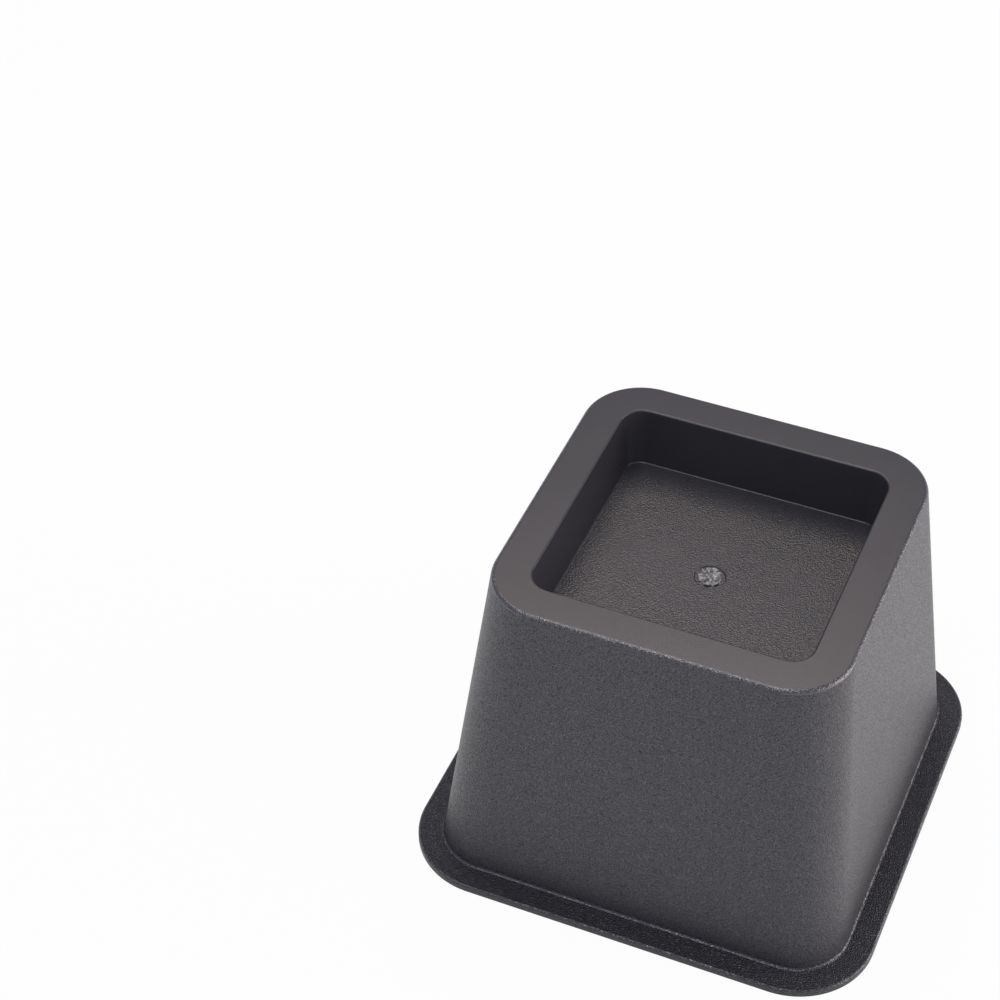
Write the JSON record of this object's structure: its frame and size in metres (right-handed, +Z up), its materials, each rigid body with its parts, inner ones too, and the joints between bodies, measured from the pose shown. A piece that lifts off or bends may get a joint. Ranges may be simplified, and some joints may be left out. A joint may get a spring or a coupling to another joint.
{
  "type": "bed riser",
  "caption": "Hollow square tapered riser moulded in plastic, with a flat flange at its foot, a flat rim and a square recess in its top that holds a bed or sofa leg.",
  "frame": {"origin": "middle of the flange's underside, on the floor", "axes": "+Z up along the axis of the frustum, X and Y across its flat sides"},
  "size_m": [0.1748, 0.1748, 0.127],
  "materials": {
    "grained_plastic": "charcoal, moulded with a fine pebble grain"
  },
  "bodies": {
    "root": {"bed_riser": "grained_plastic"}
  },
  "joints": []
}
